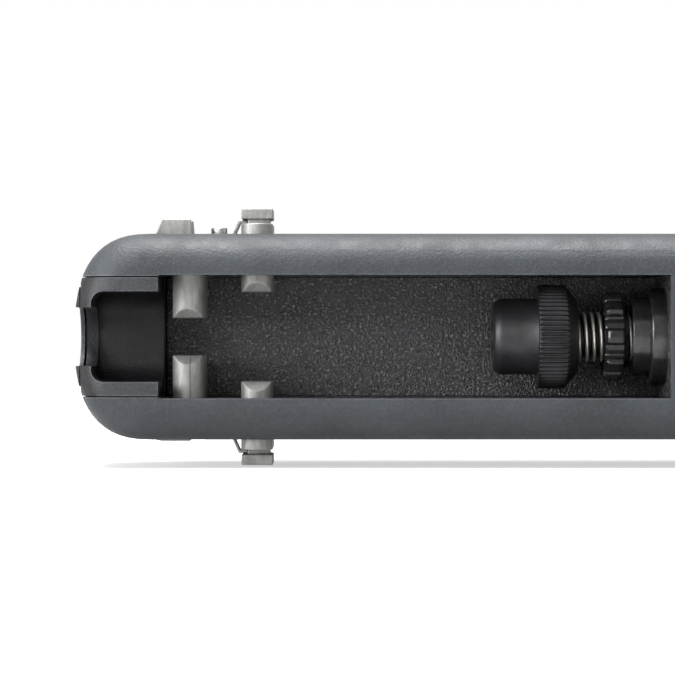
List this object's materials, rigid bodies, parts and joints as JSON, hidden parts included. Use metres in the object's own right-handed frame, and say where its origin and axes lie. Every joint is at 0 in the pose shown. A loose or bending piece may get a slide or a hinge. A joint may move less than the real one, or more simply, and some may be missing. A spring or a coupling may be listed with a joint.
{
  "type": "coaxial compression crimping tool",
  "caption": "Hand-held coaxial compression crimping tool with sprung cable jaws, a knurled plunger tip and a lever handle, shown open.",
  "frame": {"origin": "on the crimp axis, in the middle of the closed front cable jaws", "axes": "+X along the crimp axis from the nose to the handles, -Y out of the connector mouth, +Z across the flanks"},
  "size_m": [0.2199, 0.0857, 0.0316],
  "materials": {
    "black_cast": "black wrinkle coat on a casting",
    "nose_plastic": "black nylon, fine grain",
    "shell_plastic": "slate grey glass-filled nylon, fine moulded grain",
    "jaw_zinc": "raw die-cast zinc, matte",
    "spring_steel": "bright spring steel",
    "bright_zinc": "zinc-plated steel",
    "dark_nickel": "black-nickel steel, satin",
    "black_oxide": "black oxide on steel",
    "gloss_black": "black gloss lacquer on steel",
    "rod_steel": "burnished black steel"
  },
  "bodies": {
    "tool_frame": {"upper_side_plate": "black_cast", "lower_side_plate": "black_cast", "cradle_floor": "black_cast", "plunger_block": "black_cast", "guide_bushing": "rod_steel", "nose_guide": "nose_plastic", "upper_shell": "shell_plastic", "lower_shell": "shell_plastic", "shell_screws": "black_oxide", "shell_nuts": "bright_zinc", "upper_jaw_spring": "spring_steel", "lower_jaw_spring": "spring_steel", "spring_rivets": "bright_zinc", "handle_pivot": "bright_zinc", "pivot_clip": "black_oxide", "pivot_spacer": "bright_zinc", "handle_return_spring": "spring_steel"},
    "front_upper": {"front_upper_jaw": "jaw_zinc"},
    "front_lower": {"front_lower_jaw": "jaw_zinc"},
    "rear_upper": {"rear_upper_jaw": "jaw_zinc"},
    "rear_lower": {"rear_lower_jaw": "jaw_zinc"},
    "plunger": {"plunger_rod": "rod_steel"},
    "screw": {"adjusting_screw": "dark_nickel"},
    "tip": {"knurled_tip": "black_oxide"},
    "lock_nut": {"star_lock_nut": "gloss_black"},
    "lever": {"lever_core": "black_oxide", "upper_handle_grip": "shell_plastic", "lower_handle_grip": "shell_plastic", "grip_rivets": "bright_zinc"},
    "links": {"upper_link_plate": "bright_zinc", "lower_link_plate": "bright_zinc", "cross_pin": "bright_zinc", "link_pin": "bright_zinc"},
    "bail": {"latch_bail": "bright_zinc"}
  },
  "joints": [
    {"name": "handle_squeeze", "type": "hinge", "parent": "tool_frame", "child": "lever", "pos_m": [0.08649, 0.01167, 0], "axis": [0, 0, -1], "range_deg": [0, 38], "stiffness_Nm_per_rad": 0.4, "springref_deg": -22.92, "deforming": ["handle_return_spring"]},
    {"name": "plunger_stroke", "type": "slide", "parent": "tool_frame", "child": "plunger", "axis": [-1, 0, 0], "range_m": [0, 0.00782]},
    {"name": "link_swing", "type": "hinge", "parent": "lever", "child": "links", "pos_m": [0.0904, 0.00033, 0], "axis": [0, 0, 1], "range_deg": [0, 38]},
    {"name": "front_upper_jaw_slide", "type": "slide", "parent": "tool_frame", "child": "front_upper", "axis": [0, 0, 1], "range_m": [0, 0.0032], "stiffness_N_per_m": 1500, "springref_m": -0.002, "deforming": ["upper_jaw_spring"]},
    {"name": "front_lower_jaw_slide", "type": "slide", "parent": "tool_frame", "child": "front_lower", "axis": [0, 0, -1], "range_m": [0, 0.0032], "stiffness_N_per_m": 1500, "springref_m": -0.002, "deforming": ["lower_jaw_spring"]},
    {"name": "rear_upper_jaw_slide", "type": "slide", "parent": "tool_frame", "child": "rear_upper", "axis": [0, 0, 1], "range_m": [-0.0032, 0.0001], "stiffness_N_per_m": 1500, "springref_m": -0.0045, "deforming": ["upper_jaw_spring"]},
    {"name": "rear_lower_jaw_slide", "type": "slide", "parent": "tool_frame", "child": "rear_lower", "axis": [0, 0, -1], "range_m": [-0.0032, 0.0001], "stiffness_N_per_m": 1500, "springref_m": -0.0045, "deforming": ["lower_jaw_spring"]},
    {"name": "screw_advance", "type": "slide", "parent": "plunger", "child": "screw", "axis": [-1, 0, 0], "range_m": [-0.00181, 0.00363]},
    {"name": "tip_turn", "type": "hinge", "parent": "screw", "child": "tip", "pos_m": [0.045, 0, 0], "axis": [-1, 0, 0], "range_deg": [-720, 1440]},
    {"name": "lock_nut_turn", "type": "hinge", "parent": "plunger", "child": "lock_nut", "pos_m": [0.0526, 0, 0], "axis": [1, 0, 0], "continuous": true},
    {"name": "bail_swing", "type": "hinge", "parent": "tool_frame", "child": "bail", "pos_m": [0.178, -0.005, 0], "axis": [0, 0, 1], "range_deg": [0, 100]}
  ],
  "couplings": [
    {"joint": "plunger_stroke", "follows": "handle_squeeze", "m_per_rad": 0.011781},
    {"joint": "link_swing", "follows": "handle_squeeze", "ratio": 1},
    {"joint": "tip_turn", "follows": "screw_advance", "rad_per_m": 6927.4}
  ]
}
